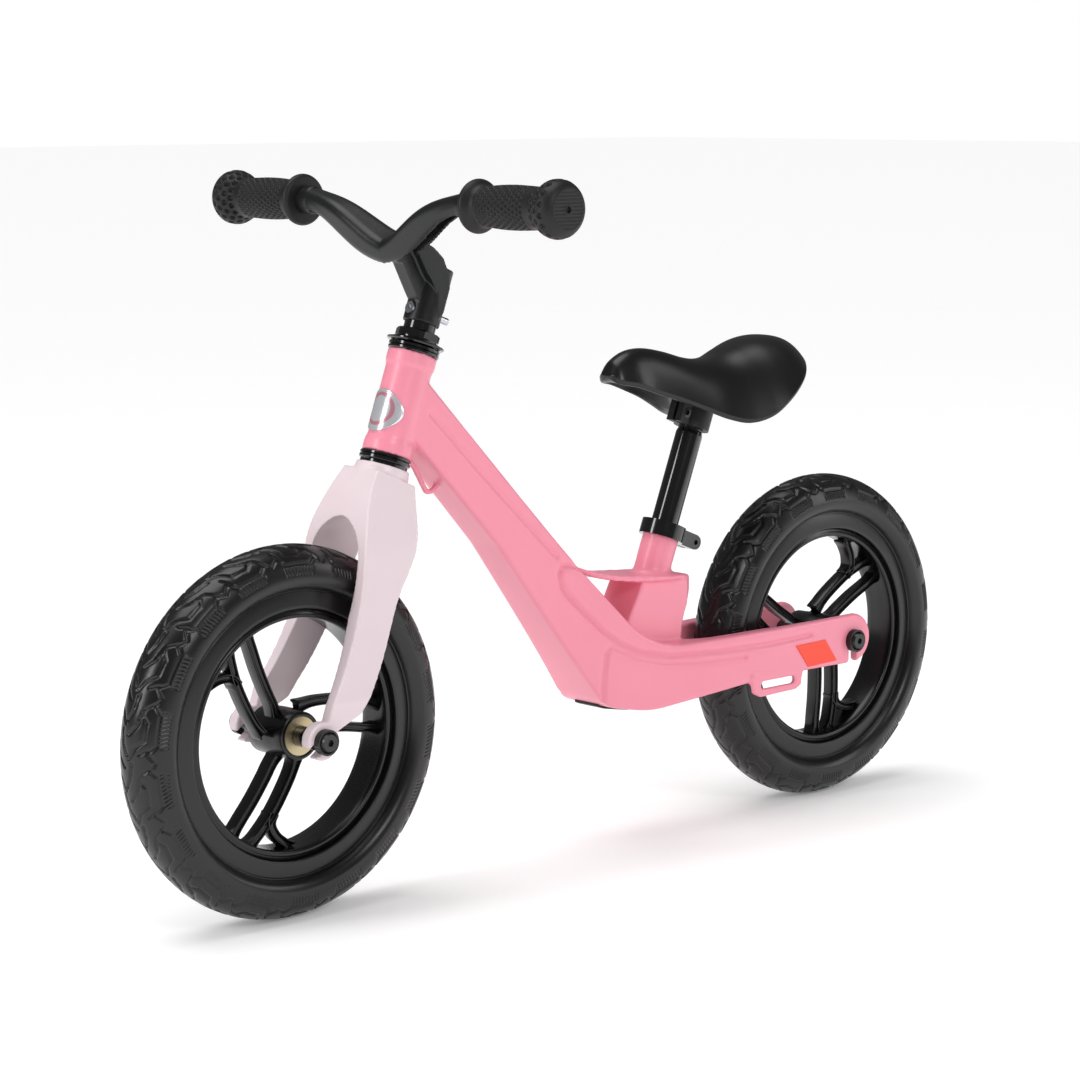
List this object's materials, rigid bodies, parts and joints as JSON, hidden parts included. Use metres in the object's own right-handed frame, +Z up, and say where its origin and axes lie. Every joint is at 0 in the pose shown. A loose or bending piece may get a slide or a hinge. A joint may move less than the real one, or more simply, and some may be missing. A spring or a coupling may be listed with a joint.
{
  "type": "balance bike",
  "caption": "Child's balance bike: cast pink frame with arched elbow, pale fork, wing handlebar, foam tyres on spoked wheels and a height-adjustable saddle.",
  "frame": {"origin": "on the ground, midway between the two axles", "axes": "+X forward along the bike, +Y to the rider's left along the axles, +Z up"},
  "size_m": [0.893, 0.406, 0.5659],
  "materials": {
    "pink_paint": "satin powder coat",
    "pale_pink_paint": "satin powder coat",
    "badge_white": "domed resin",
    "reflector_red": "reflective film",
    "black_rubber": "matt",
    "black_steel": "gloss black",
    "bearing_steel": "bright",
    "bearing_brass": "dull",
    "black_composite": "matt moulded",
    "tyre_foam": "matt foam",
    "black_plastic": "moulded",
    "saddle_skin": "soft satin"
  },
  "bodies": {
    "frame": {"frame": "pink_paint", "head_badge": "badge_white", "reflector_left": "reflector_red", "reflector_right": "reflector_red", "underside_pad": "black_rubber", "headset_upper_cup": "black_steel", "headset_lower_cup": "black_steel", "headset_upper_bearing": "bearing_steel", "headset_lower_bearing": "bearing_steel", "seat_clamp": "black_steel", "seat_clamp_bolt": "black_steel", "seat_clamp_nut": "black_steel", "rear_axle": "bearing_steel", "rear_axle_spacers": "black_steel", "rear_axle_caps": "black_plastic", "rear_axle_bolts": "black_steel"},
    "steering": {"fork": "pale_pink_paint", "steerer_tube": "black_steel", "fork_crown_race": "black_steel", "headset_adjusting_cap": "black_steel", "headset_lock_washer": "black_steel", "headset_lock_nut": "black_steel", "handlebar": "black_composite", "stem_bolt": "bearing_steel", "grip_left": "black_rubber", "grip_right": "black_rubber", "front_axle": "bearing_steel", "front_axle_spacers": "black_steel", "front_axle_caps": "black_plastic", "front_axle_bolts": "black_steel"},
    "front_wheel": {"front_tyre": "tyre_foam", "front_rim": "black_plastic", "front_wheel_bearings": "bearing_brass"},
    "rear_wheel": {"rear_tyre": "tyre_foam", "rear_rim": "black_plastic", "rear_wheel_bearings": "bearing_brass"},
    "seat": {"seat_post": "black_steel", "saddle_cover": "saddle_skin", "saddle_base": "black_plastic", "saddle_bracket": "black_plastic", "saddle_bracket_bolt": "black_steel", "saddle_bracket_nut": "black_steel"}
  },
  "joints": [
    {"name": "steering", "type": "hinge", "parent": "frame", "child": "steering", "pos_m": [0.19641, 0, 0.34924], "axis": [-0.3453, 0, 0.9385], "range_deg": [-90, 90]},
    {"name": "front_wheel_spin", "type": "hinge", "parent": "steering", "child": "front_wheel", "pos_m": [0.3016, 0, 0.145], "axis": [0, 1, 0], "continuous": true},
    {"name": "rear_wheel_spin", "type": "hinge", "parent": "frame", "child": "rear_wheel", "pos_m": [-0.3016, 0, 0.145], "axis": [0, 1, 0], "continuous": true},
    {"name": "seat_height", "type": "slide", "parent": "frame", "child": "seat", "axis": [-0.3719, 0, 0.9283], "range_m": [-0.06, 0.02]}
  ]
}
